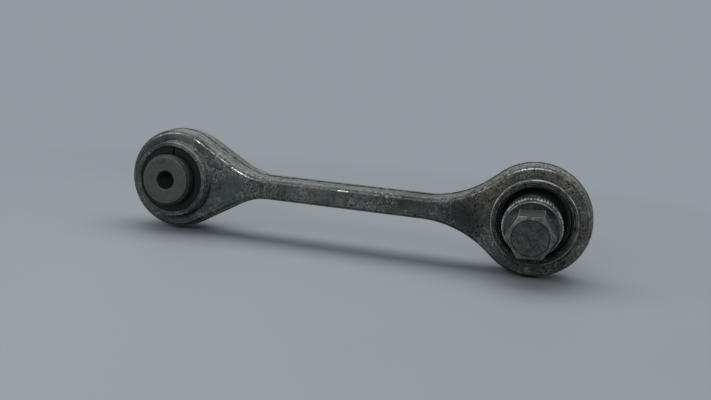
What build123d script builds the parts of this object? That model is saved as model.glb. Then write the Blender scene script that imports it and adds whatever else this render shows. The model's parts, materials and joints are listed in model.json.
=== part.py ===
from build123d import *
from math import cos, radians, sin, sqrt, tan
import os

# Lower control arm: a forged dog-bone link with a rubber bush in its inboard eye and a
# ball-sleeve joint in its outboard eye, with the flange bolt still in the outboard sleeve.
# The origin is the centre of the inboard eye. +X runs to the outboard eye, the eye axes lie
# along Y with the front faces towards -Y, and +Z is up. All sizes are in millimetres.

# Forging
arm_length = 200.0  # between the two eye axes
arm_depth = 22.8  # over the two flat faces, along the eye axes
shank_width = 12.6  # across the shank at the parting plane
inboard_eye_r = 28.0
outboard_eye_r = 29.2
inboard_neck_angle = 30.0  # slope of the neck's side where it leaves the eye
outboard_neck_angle = 41.0
inboard_neck_r = 40.0
outboard_neck_r = 54.0
draft = 2.0
edge_r = 3.0
flash_width = 0.45  # how far the trimmed flash line stands out
flash_depth = 1.8
boss_height = 5.8  # of the raised boss round the inboard bush, over the flat face
boss_wall = 2.4
boss_draft = 3.0
boss_root_r = 0.8
bore_chamfer = 0.5

# Inboard rubber bush
bush_r = 18.5  # press seat in the inboard eye
bush_sleeve_wall = 1.2
bush_sleeve_half = 15.0
core_half = 23.2
core_bore_r = 5.25
core_countersink = 0.4
core_waist_r = 10.4
core_head_r = 14.1
core_head_length = 5.6
core_head_slope = 1.1  # axial height of the cone under the head
core_chamfer = 1.4
rubber_half = 14.2
rubber_dish = 2.6  # depth of the hollow in each end of the rubber
end_ring_bore_r = 12.4
end_ring_thickness = 1.6
end_ring_slit = 0.9
end_ring_slit_angle = 86.0

# Outboard ball-sleeve joint
lean = 8.0  # how far the sleeve and bolt are tipped, head downwards, as stored
lean_heading = 17.0  # how far the tip's direction is turned from straight down to the shank
cartridge_r = 20.6  # press seat in the outboard eye
cartridge_half = 15.9
cartridge_lip = 1.1  # how far the front lip overhangs the eye
cartridge_wall = 1.9  # round the mouths
cartridge_chamfer = 0.5
cartridge_groove = 0.5  # width and depth of the groove turned into each end face
race_depth = 1.3  # from the mouth's wall in to the seat of the bearing shells
shoulder_depth = 1.2
shoulder_height = 0.8
shell_wall = 3.15
shell_half = 4.9
shell_chamfer = 0.5
sleeve_half = 17.8
sleeve_neck_depth = 3.2  # from the ball's radius in to the neck
sleeve_rim_step = 4.1  # from the neck out to the rim
sleeve_rim_thickness = 6.9
sleeve_rim_chamfer = 0.35
sleeve_teeth = 32
sleeve_tooth_depth = 0.55
sleeve_tooth_length = 2.6
boot_wall = 0.8
boot_collar_wall = 0.6
boot_collar_height = 3.6
boot_lip_wall = 0.95
boot_lip_height = 1.8
clamp_wire_r = 0.45
boot_ring_wall = 0.4
boot_ring_height = 1.4
circlip_thickness = 1.2
circlip_depth = 0.6  # of its groove
circlip_width = 3.0
circlip_gap = 9.0

# Flange bolt
bolt_r = 7.0
bolt_length = 75.0
bolt_shank_reach = 2.0  # how far the plain shank runs on past the sleeve
thread_r = 6.9  # over the crests
thread_relief = 2.0  # length of the groove before the thread
thread_relief_r = 5.9
bolt_end_chamfer = 1.5
bolt_flange_r = 14.2
bolt_flange_rim = 2.8
bolt_flange_slope = 25.0
hex_across_flats = 21.0
head_height = 17.6
hex_face_r = 9.0  # of the flat end face inside the chamfer
hex_chamfer_angle = 22.0
hex_turn = 20.8  # how the hexagon happens to be turned about the bolt's axis

# Clearances
ball_gap = 0.05
bolt_gap = 0.08
bond_gap = 0.05
seat_gap = 0.05
boot_lip_gap = 0.1  # between the boot's lip and the sleeve's rim
boot_ball_gap = 0.15

half_depth = arm_depth / 2
shank_half = shank_width / 2
hinge = Vector(cos(radians(lean_heading)), 0, -sin(radians(lean_heading)))  # the sleeve tips about it
inboard = Plane.XZ
outboard = Plane(origin=(arm_length, 0, 0), x_dir=hinge, z_dir=(0, -1, 0))


def eye_frame(eye, side=1, tilt=0.0):
    """Section plane (x is radius, y is height along the axis), axis, and face plane of an eye.

    Side 1 looks out of the front and -1 out of the rear; tilt tips the front of the axis down.
    """
    centre = eye.origin
    outward = side * eye.z_dir.rotate(Axis((0, 0, 0), eye.x_dir), tilt)
    section = Plane(origin=centre, x_dir=eye.x_dir, z_dir=eye.x_dir.cross(outward))
    return section, Axis(centre, outward), Plane(origin=centre, x_dir=eye.x_dir, z_dir=outward)


def turned(frame, *points, mode=Mode.ADD):
    """A closed outline of (radius, height) points, revolved about the eye's axis."""
    section, axis, _ = frame
    with BuildSketch(section) as profile:
        with BuildLine():
            Polyline(*points, close=True)
        make_face()
    revolve(profile.sketch, axis=axis, mode=mode)


def tube(frame, inner_r, outer_r, low, high, mode=Mode.ADD):
    turned(frame, (inner_r, low), (outer_r, low), (outer_r, high), (inner_r, high), mode=mode)


def neck_corner(eye_r, angle):
    """Distance from an eye's centre to where the neck's sloping side meets the shank's side."""
    return (eye_r - shank_half * cos(radians(angle))) / sin(radians(angle))


def save(builder, name):
    builder.part.label = name
    export_step(builder.part, f"parts/{name}.step")


os.makedirs("parts", exist_ok=True)
inboard_front = eye_frame(inboard)
outboard_front = eye_frame(outboard)
leaning = eye_frame(outboard, tilt=lean)

# Forged arm: one drafted half with its edge rounding, flash line and boss, mirrored at the
# parting plane, then both eyes bored through.
inboard_corner = neck_corner(inboard_eye_r, inboard_neck_angle)
outboard_corner = arm_length - neck_corner(outboard_eye_r, outboard_neck_angle)
upper_side = [
    (inboard_eye_r * sin(radians(inboard_neck_angle)), inboard_eye_r * cos(radians(inboard_neck_angle))),
    (inboard_corner, shank_half),
    (outboard_corner, shank_half),
    (
        arm_length - outboard_eye_r * sin(radians(outboard_neck_angle)),
        outboard_eye_r * cos(radians(outboard_neck_angle)),
    ),
]
with BuildPart() as arm_forging:
    with BuildSketch(Plane.XZ) as outline:
        Circle(inboard_eye_r)
        with Locations((arm_length, 0)):
            Circle(outboard_eye_r)
        with BuildLine():
            Polyline(*upper_side, *[(x, -y) for x, y in reversed(upper_side)], close=True)
        make_face()
        for corner_x, neck_r in ((inboard_corner, inboard_neck_r), (outboard_corner, outboard_neck_r)):
            corners = outline.vertices().filter_by(lambda v: abs(v.X - corner_x) < 0.01)
            fillet(corners, radius=neck_r)
    extrude(amount=half_depth, taper=draft)
    fillet(arm_forging.faces().sort_by(Axis.Y)[0].outer_wire().edges(), radius=edge_r)
    with BuildSketch(Plane.XZ):
        add(outline.sketch_local)
        offset(amount=flash_width)
    extrude(amount=flash_depth / 2)
    with BuildSketch(Plane.XZ.offset(half_depth)):
        Circle(bush_r + boss_wall)
    extrude(amount=boss_height, taper=boss_draft)
    boss_root = arm_forging.edges().filter_by(GeomType.CIRCLE).filter_by(
        lambda e: abs(e.radius - bush_r - boss_wall) < 0.01 and abs(e.center().Y + half_depth) < 0.01
    )
    fillet(boss_root, radius=boss_root_r)
    mirror(about=Plane.XZ)
    inboard_bore = (inboard_front, bush_r, half_depth + boss_height)
    outboard_bore = (outboard_front, cartridge_r, half_depth)
    for frame, bore_r, reach in (inboard_bore, outboard_bore):
        tube(frame, 0, bore_r, -reach, reach, mode=Mode.SUBTRACT)
        for end in (-1, 1):
            turned(
                frame,
                (bore_r - bore_chamfer, end * (reach + bore_chamfer)),
                (bore_r + 2 * bore_chamfer, end * (reach + bore_chamfer)),
                (bore_r - bore_chamfer, end * (reach - 2 * bore_chamfer)),
                mode=Mode.SUBTRACT,
            )
save(arm_forging, "arm_forging")

# Inboard bush: thin outer sleeve, bonded rubber, core with cold-formed heads, split end rings.
sleeve_bore_r = bush_r - bush_sleeve_wall
with BuildPart() as bush_outer_sleeve:
    tube(inboard_front, sleeve_bore_r, bush_r, -bush_sleeve_half, bush_sleeve_half)
save(bush_outer_sleeve, "bush_outer_sleeve")

rubber_in_r = core_waist_r + bond_gap
rubber_mid_r = (rubber_in_r + sleeve_bore_r) / 2
with BuildPart() as bush_rubber:
    with BuildSketch(inboard_front[0]):
        with BuildLine():
            Line((rubber_in_r, rubber_half), (rubber_in_r, -rubber_half))
            ThreePointArc(
                (rubber_in_r, -rubber_half),
                (rubber_mid_r, rubber_dish - rubber_half),
                (sleeve_bore_r, -rubber_half),
            )
            Line((sleeve_bore_r, -rubber_half), (sleeve_bore_r, rubber_half))
            ThreePointArc(
                (sleeve_bore_r, rubber_half),
                (rubber_mid_r, rubber_half - rubber_dish),
                (rubber_in_r, rubber_half),
            )
        make_face()
    revolve(axis=inboard_front[1])
save(bush_rubber, "bush_rubber")

head_base = core_half - core_head_length
core_side = [
    (core_waist_r, head_base - core_head_slope),
    (core_head_r, head_base),
    (core_head_r, core_half - core_chamfer),
    (core_head_r - core_chamfer, core_half),
    (core_bore_r + core_countersink, core_half),
    (core_bore_r, core_half - core_countersink),
]
with BuildPart() as bush_core:
    turned(inboard_front, *core_side, *[(r, -h) for r, h in reversed(core_side)])
save(bush_core, "bush_core")

for end, side in (("front", 1), ("rear", -1)):
    frame = eye_frame(inboard, side)
    with BuildPart() as end_ring:
        tube(frame, end_ring_bore_r, bush_r, bush_sleeve_half, bush_sleeve_half + end_ring_thickness)
        with BuildSketch(frame[2].offset(bush_sleeve_half)):
            with PolarLocations(bush_r, 1, start_angle=side * end_ring_slit_angle):
                Rectangle(2 * (bush_r - end_ring_bore_r) + 2, end_ring_slit)
        extrude(amount=end_ring_thickness, mode=Mode.SUBTRACT)
    save(end_ring, f"bush_end_ring_{end}")

# Outboard joint cartridge: press ring with a front lip, a shoulder for the shells, two deep
# mouths for the boots, a circlip groove behind the eye and a fine groove in each end face.
cartridge_mouth_r = cartridge_r - cartridge_wall
race_r = cartridge_mouth_r - race_depth
shoulder_r = race_r - shoulder_depth
ball_r = race_r - shell_wall - ball_gap
sleeve_neck_r = ball_r - sleeve_neck_depth
sleeve_rim_r = sleeve_neck_r + sleeve_rim_step
mouth_floor = shell_half + shoulder_height
with BuildPart() as joint_cartridge:
    turned(
        outboard_front,
        (race_r, -mouth_floor),
        (cartridge_mouth_r, -mouth_floor),
        (cartridge_mouth_r, -cartridge_half),
        (cartridge_r - cartridge_chamfer, -cartridge_half),
        (cartridge_r, cartridge_chamfer - cartridge_half),
        (cartridge_r, half_depth),
        (cartridge_r + cartridge_lip, half_depth),
        (cartridge_r + cartridge_lip, cartridge_half - cartridge_chamfer),
        (cartridge_r + cartridge_lip - cartridge_chamfer, cartridge_half),
        (cartridge_mouth_r + cartridge_chamfer, cartridge_half),
        (cartridge_mouth_r, cartridge_half - cartridge_chamfer),
        (cartridge_mouth_r, mouth_floor),
        (shoulder_r, mouth_floor),
        (shoulder_r, shell_half),
        (race_r, shell_half),
    )
    groove = -half_depth - circlip_thickness - seat_gap
    tube(outboard_front, cartridge_r - circlip_depth, cartridge_r, groove, -half_depth, mode=Mode.SUBTRACT)
    groove_r = cartridge_mouth_r + cartridge_wall / 2
    for end in (1, -1):
        turned(
            outboard_front,
            (groove_r - cartridge_groove / 2, end * cartridge_half),
            (groove_r + cartridge_groove / 2, end * cartridge_half),
            (groove_r, end * (cartridge_half - cartridge_groove)),
            mode=Mode.SUBTRACT,
        )
save(joint_cartridge, "joint_cartridge")

for end, side in (("front", 1), ("rear", -1)):
    shell_in_r = race_r - shell_wall
    shell_mouth_r = sqrt(shell_in_r**2 - shell_half**2)
    frame = eye_frame(outboard, side)
    with BuildPart() as bearing_shell:
        with BuildSketch(frame[0]):
            with BuildLine():
                Polyline(
                    (shell_mouth_r, shell_half),
                    (race_r - shell_chamfer, shell_half),
                    (race_r, shell_half - shell_chamfer),
                    (race_r, 0),
                    (shell_in_r, 0),
                )
                RadiusArc((shell_in_r, 0), (shell_mouth_r, shell_half), -shell_in_r)
            make_face()
        revolve(axis=frame[1])
    save(bearing_shell, f"bearing_shell_{end}")

with BuildPart() as closing_ring:
    tube(outboard_front, shoulder_r, race_r, -mouth_floor, -shell_half)
save(closing_ring, "closing_ring")

with BuildPart() as cartridge_circlip:
    tube(
        outboard_front,
        cartridge_r - circlip_depth,
        cartridge_r - circlip_depth + circlip_width,
        -half_depth - circlip_thickness,
        -half_depth,
    )
    with BuildSketch(outboard_front[2].offset(-half_depth - circlip_thickness)):
        with Locations((0, -cartridge_r)):
            Rectangle(circlip_gap, 2 * circlip_width)
    extrude(amount=circlip_thickness, mode=Mode.SUBTRACT)
save(cartridge_circlip, "cartridge_circlip")

# Ball sleeve: the ball between two necks and two rims, toothed on both end faces by one
# notch, cut all round.
notch_flank = sqrt(2) * sleeve_tooth_depth
with BuildPart() as tooth_notch:
    with BuildSketch(Plane.YZ.offset(sleeve_rim_r - sleeve_tooth_length)):
        Triangle(a=2 * sleeve_tooth_depth, b=notch_flank, c=notch_flank, rotation=180)
    extrude(amount=sleeve_tooth_length + notch_flank)

rim_back = sleeve_half - sleeve_rim_thickness
neck_start = sqrt(ball_r**2 - sleeve_neck_r**2)
sleeve_bore = bolt_r + bolt_gap
sleeve_end = [
    (sleeve_neck_r, rim_back),
    (sleeve_rim_r, rim_back),
    (sleeve_rim_r, sleeve_half - sleeve_rim_chamfer),
    (sleeve_rim_r - sleeve_rim_chamfer, sleeve_half),
    (sleeve_bore, sleeve_half),
]
with BuildPart() as ball_sleeve:
    with BuildSketch(leaning[0]):
        with BuildLine():
            Polyline((sleeve_neck_r, neck_start), *sleeve_end, *[(r, -h) for r, h in reversed(sleeve_end)])
            Line((sleeve_neck_r, -rim_back), (sleeve_neck_r, -neck_start))
            ThreePointArc((sleeve_neck_r, -neck_start), (ball_r, 0), (sleeve_neck_r, neck_start))
        make_face()
    revolve(axis=leaning[1])
    for side in (1, -1):
        with Locations(eye_frame(outboard, side, lean)[2].offset(sleeve_half)):
            with PolarLocations(0, sleeve_teeth):
                add(tooth_notch.part, mode=Mode.SUBTRACT)
save(ball_sleeve, "ball_sleeve")

# Boots: each is a rubber skin between two lofted surfaces. Every ring of the skin has a share of
# the way in, of the way up and of the sleeve's tilt, from none at the cartridge to all at the neck.
lip_r = sleeve_neck_r + bond_gap
lip_out_r = lip_r + boot_lip_wall
lip_low = rim_back - boot_lip_gap - boot_lip_height
collar_in_r = cartridge_mouth_r - boot_collar_wall
collar_low = mouth_floor + seat_gap
collar_top = mouth_floor + boot_collar_height
roll = [(0.0, 0.12, 0.0), (0.26, 0.33, 0.35), (0.56, 0.47, 0.65), (0.84, 0.66, 0.9), (1.0, 1.0, 1.0)]


def skin(side, outer_r, inner_r, low, high, base):
    """Solid under one surface of the boot, which rolls from the outer edge in and up to the lip."""
    rings = [(outer_r, base, 0.0)]
    for inward, upward, share in roll:
        rings.append((outer_r + (inner_r - outer_r) * inward, low + (high - low) * upward, share))
    sections = []
    for radius, height, share in rings:
        with BuildSketch(eye_frame(outboard, side, lean * share)[2].offset(height)) as ring:
            Circle(radius)
        sections.append(ring.sketch.face())
    return loft(sections, ruled=True, mode=Mode.PRIVATE)


for end, side in (("front", 1), ("rear", -1)):
    fixed = eye_frame(outboard, side)
    tipped = eye_frame(outboard, side, lean)
    root_r = cartridge_mouth_r - boot_collar_wall / 2
    root_low = mouth_floor + boot_wall
    seam = lip_low + boot_wall / 2  # where the skin runs into the lip
    inner_root_r = root_r - boot_wall
    inner_lip_r = lip_out_r - boot_wall / 4
    upper = skin(side, root_r, lip_out_r, root_low, seam, collar_low)
    lower = skin(side, inner_root_r, inner_lip_r, root_low - boot_wall, seam - boot_wall, shell_half)
    with BuildPart() as boot:
        add(upper)
        add(lower, mode=Mode.SUBTRACT)
        tube(fixed, collar_in_r, cartridge_mouth_r, collar_low, collar_top)
        tube(tipped, lip_r, lip_out_r, lip_low, lip_low + boot_lip_height)
        tube(tipped, 0, lip_r, 0, sleeve_half, mode=Mode.SUBTRACT)
        with Locations(outboard.origin):
            Sphere(ball_r + boot_ball_gap, mode=Mode.SUBTRACT)
    save(boot, f"boot_{end}")

    ring_in_r = collar_in_r - boot_ring_wall
    with BuildPart() as boot_ring:
        turned(
            fixed,
            (ring_in_r, collar_top - boot_ring_height),
            (collar_in_r, collar_top - boot_ring_height),
            (collar_in_r, collar_top),
            (cartridge_mouth_r, collar_top),
            (cartridge_mouth_r, collar_top + boot_ring_wall),
            (ring_in_r, collar_top + boot_ring_wall),
        )
    save(boot_ring, f"boot_ring_{end}")

    with BuildPart() as boot_clamp:
        with BuildSketch(tipped[0]) as wire:
            with Locations((lip_out_r + clamp_wire_r + bond_gap, lip_low + 0.6 * boot_lip_height)):
                Circle(clamp_wire_r)
        revolve(wire.sketch, axis=tipped[1])
    save(boot_clamp, f"boot_clamp_{end}")

# Flange bolt: flange, coned shoulder, chamfered hexagon, plain shank through the sleeve, relief
# groove and the thread's cylinder.
head_seat = sleeve_half + seat_gap
hex_corner_r = hex_across_flats / sqrt(3)
cone_rise = (bolt_flange_r - hex_across_flats / 2) * tan(radians(bolt_flange_slope))
head_top = head_seat + head_height
corner_drop = (hex_corner_r - hex_face_r) * tan(radians(hex_chamfer_angle))
with BuildPart() as flange_bolt:
    with BuildSketch(leaning[2].offset(head_seat)):
        RegularPolygon(hex_across_flats / 2, 6, major_radius=False, rotation=hex_turn)
    extrude(amount=head_height)
    turned(
        leaning,
        (0, head_seat),
        (hex_corner_r, head_seat),
        (hex_corner_r, head_top - corner_drop),
        (hex_face_r, head_top),
        (0, head_top),
        mode=Mode.INTERSECT,
    )
    turned(
        leaning,
        (0, head_seat),
        (bolt_flange_r, head_seat),
        (bolt_flange_r, head_seat + bolt_flange_rim),
        (hex_across_flats / 2, head_seat + bolt_flange_rim + cone_rise),
        (0, head_seat + bolt_flange_rim + cone_rise),
    )
    shank_end = -sleeve_half - bolt_shank_reach
    thread_start = shank_end - thread_relief
    tail_end = head_seat - bolt_length
    turned(
        leaning,
        (0, head_seat),
        (bolt_r, head_seat),
        (bolt_r, shank_end),
        (thread_relief_r, shank_end),
        (thread_relief_r, thread_start),
        (thread_r, thread_start),
        (thread_r, tail_end + bolt_end_chamfer),
        (thread_r - bolt_end_chamfer, tail_end),
        (0, tail_end),
    )
save(flange_bolt, "flange_bolt")
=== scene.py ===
import json
from math import cos, pi, radians, sin, sqrt, tan

import bmesh
import bpy
from mathutils import Matrix, Vector


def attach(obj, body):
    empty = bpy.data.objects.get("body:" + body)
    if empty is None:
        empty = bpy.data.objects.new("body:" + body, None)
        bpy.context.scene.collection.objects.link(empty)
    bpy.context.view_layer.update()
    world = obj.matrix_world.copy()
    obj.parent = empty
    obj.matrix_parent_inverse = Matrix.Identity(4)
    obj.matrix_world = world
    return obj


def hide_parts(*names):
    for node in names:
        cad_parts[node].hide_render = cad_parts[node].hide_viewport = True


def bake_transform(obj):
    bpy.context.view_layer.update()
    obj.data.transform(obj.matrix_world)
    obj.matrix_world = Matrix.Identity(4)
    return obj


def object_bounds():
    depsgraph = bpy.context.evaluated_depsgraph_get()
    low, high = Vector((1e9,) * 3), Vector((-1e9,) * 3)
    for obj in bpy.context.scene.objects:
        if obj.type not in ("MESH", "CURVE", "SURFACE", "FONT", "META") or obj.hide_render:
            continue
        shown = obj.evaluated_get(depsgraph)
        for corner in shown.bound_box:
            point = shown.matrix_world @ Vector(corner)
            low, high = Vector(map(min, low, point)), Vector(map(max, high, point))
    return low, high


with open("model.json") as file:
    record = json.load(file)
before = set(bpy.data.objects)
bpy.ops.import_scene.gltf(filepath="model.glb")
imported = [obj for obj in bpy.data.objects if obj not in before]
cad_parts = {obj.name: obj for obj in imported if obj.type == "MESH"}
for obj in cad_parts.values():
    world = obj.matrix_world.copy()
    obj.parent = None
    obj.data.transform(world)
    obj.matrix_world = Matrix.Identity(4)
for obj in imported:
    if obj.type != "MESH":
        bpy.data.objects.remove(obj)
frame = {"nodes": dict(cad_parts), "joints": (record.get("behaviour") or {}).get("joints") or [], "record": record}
cadBox = [list(map(float, corner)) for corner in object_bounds()]
scene = bpy.context.scene
nodes = frame["nodes"]
record = frame["record"]
print("frame loaded:", len(nodes), "nodes")

mm = 0.001
weld = 1e-6  # points nearer to each other than this, in metres, become one
joints = {joint["name"]: joint for joint in frame["joints"]}
mounts = {mount["name"]: mount for mount in record["mounts"]}

# Where the two eyes are, and how the sleeve and bolt lean as they are stored
eyeLeft = Vector(joints["bush_twist"]["pos_m"])
eyeRight = Vector(joints["sleeve_tilt"]["pos_m"])
hinge = Vector(joints["sleeve_tilt"]["axis"]).normalized()
headWay = Vector(joints["bolt_turn"]["axis"]).normalized()
frontWay = Vector((0, -1, 0))
lean = headWay.angle(frontWay)


# Camera

cameraLook = {
    "place": (0.18863, -0.36325, 0.05383),
    "aim": (0.1033, 0.0028, -0.0021),
    "roll": 4.96,  # degrees, right side up
    "lens": 34.43,
    "sensor": 36.0,
    "nearest": 0.01,
}


def aimed(place, target):
    return Matrix.Translation(place) @ (target - place).to_track_quat("-Z", "Y").to_matrix().to_4x4()


def makeCamera(look):
    data = bpy.data.cameras.new("photoCamera")
    data.lens = look["lens"]
    data.sensor_width = look["sensor"]
    data.clip_start = look["nearest"]
    camera = bpy.data.objects.new("photoCamera", data)
    scene.collection.objects.link(camera)
    roll = Matrix.Rotation(radians(look["roll"]), 4, "Z")
    camera.matrix_world = aimed(Vector(look["place"]), Vector(look["aim"])) @ roll
    scene.camera = camera


makeCamera(cameraLook)
scene.view_settings.view_transform = "Standard"
print("camera placed")


# Node helpers: each returns the socket that the next one takes

traceSamples = 6  # rays of the bevel and hollow masks


def put(tree, kind, props, *sockets, out=0):
    node = tree.nodes.new(kind)
    for key, value in props.items():
        setattr(node, key, value)
    for slot, value in sockets:
        if isinstance(value, bpy.types.NodeSocket):
            tree.links.new(value, node.inputs[slot])
        else:
            node.inputs[slot].default_value = value
    return node.outputs[out]


def maths(tree, operation, first, second=0.0, clamp=False):
    props = {"operation": operation, "use_clamp": clamp}
    return put(tree, "ShaderNodeMath", props, (0, first), (1, second))


def times(tree, first, second):
    return maths(tree, "MULTIPLY", first, second)


def larger(tree, first, second):
    return maths(tree, "MAXIMUM", first, second)


def centred(tree, value):
    return maths(tree, "SUBTRACT", value, 0.5)


def weighed(tree, values, weights):
    # the sum of the values, each times its weight
    total = times(tree, values[0], weights[0])
    for value, weight in zip(values[1:], weights[1:]):
        total = maths(tree, "ADD", total, times(tree, value, weight))
    return total


def vectors(tree, operation, *values):
    # a number where the operation measures one, otherwise a vector
    out = "Value" if operation in ("LENGTH", "DISTANCE", "DOT_PRODUCT") else "Vector"
    return put(tree, "ShaderNodeVectorMath", {"operation": operation}, *enumerate(values), out=out)


def component(tree, vector, axis):
    return put(tree, "ShaderNodeSeparateXYZ", {}, (0, vector), out=axis)


def coordinates(tree, kind):
    return put(tree, "ShaderNodeTexCoord", {}, out=kind)


def spread(tree, value, low, high, outLow=0.0, outHigh=1.0):
    props = {"interpolation_type": "SMOOTHSTEP"}
    return put(tree, "ShaderNodeMapRange", props, (0, value), (1, low), (2, high), (3, outLow), (4, outHigh))


def noise(tree, where, scale, detail, rough, distort=0.0):
    props = {"noise_dimensions": "3D"}
    return put(tree, "ShaderNodeTexNoise", props, ("Vector", where), ("Scale", scale),
               ("Detail", detail), ("Roughness", rough), ("Distortion", distort))


def noiseAlong(tree, place, scale, detail):
    # noise that changes with one number only, such as a radius
    props = {"noise_dimensions": "1D"}
    return put(tree, "ShaderNodeTexNoise", props, ("W", place), ("Scale", scale), ("Detail", detail))


def pattern(tree, where, look, name):
    return spread(tree, noise(tree, where, *look[name + "Noise"]), *look[name + "Range"])


def spots(tree, where, scale, inner, outer, share=1.0):
    # the share within the inner width of each spot, nothing beyond the outer one
    away = put(tree, "ShaderNodeTexVoronoi", {"feature": "F1"}, ("Vector", where), ("Scale", scale))
    return spread(tree, away, inner, outer, share, 0.0)


def opaque(colour):
    return tuple(colour) + (1.0,)


def mixColour(tree, share, first, second, blend="MIX"):
    # sockets 6, 7 and 2 are the colour ones of this node
    props = {"data_type": "RGBA", "blend_type": blend}
    first, second = [opaque(colour) if isinstance(colour, tuple) else colour for colour in (first, second)]
    return put(tree, "ShaderNodeMix", props, (0, share), (6, first), (7, second), out=2)


def fromAxis(tree, where, centre, axis):
    away = vectors(tree, "SUBTRACT", where, tuple(centre))
    return vectors(tree, "LENGTH", vectors(tree, "CROSS_PRODUCT", away, tuple(axis)))


def ringMask(tree, radius, start, full, still, gone, share=1.0):
    # nothing inside start, the share from full to still, nothing beyond gone; all in mm
    rising = spread(tree, radius, start * mm, full * mm, 0.0, share)
    return times(tree, rising, spread(tree, radius, still * mm, gone * mm, 1.0, 0.0))


def edgeMask(tree, radius, low, high):
    geometry = tree.nodes.new("ShaderNodeNewGeometry")
    soft = put(tree, "ShaderNodeBevel", {"samples": traceSamples}, (0, radius))
    dot = vectors(tree, "DOT_PRODUCT", soft, geometry.outputs["Normal"])
    return spread(tree, maths(tree, "SUBTRACT", 1.0, dot), low, high)


def facingOut(tree):
    # 1 on the flat front and rear faces, 0 on the sides
    geometry = tree.nodes.new("ShaderNodeNewGeometry")
    return maths(tree, "ABSOLUTE", component(tree, geometry.outputs["Normal"], "Y"))


def startMaterial(name, look):
    material = bpy.data.materials.new(name)
    material.use_nodes = True
    tree = material.node_tree
    shader = tree.nodes["Principled BSDF"]
    shader.inputs["Metallic"].default_value = look["metallic"]
    shader.inputs["Specular IOR Level"].default_value = look["gloss"]
    return material, tree, shader, coordinates(tree, "Object")


def finishMaterial(tree, shader, look, colour, clouds, height, wearAndHighlight=None):
    roughness = spread(tree, clouds, *look["rough"])
    if wearAndHighlight is not None:
        roughness = maths(tree, "SUBTRACT", roughness, times(tree, wearAndHighlight, look["wornGloss"]), clamp=True)
    bump = put(tree, "ShaderNodeBump", {}, ("Strength", 1.0), ("Distance", look["depth"]),
               ("Height", height))
    tree.links.new(colour, shader.inputs["Base Color"])
    tree.links.new(roughness, shader.inputs["Roughness"])
    tree.links.new(bump, shader.inputs["Normal"])


# Forged aluminium: dull grey oxide, pitted in patches, stained brown, darker at some places, worn bright on its
# edges, with a painted highlight line beside its flat faces and painted shade in its hollows and at the collar's
# foot.
# In every look a noise is its scale and detail, then its roughness and distortion where they are
# given. A range is where its smooth step starts and ends, then what it gives at either end where
# that isn't 0 and 1.

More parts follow.
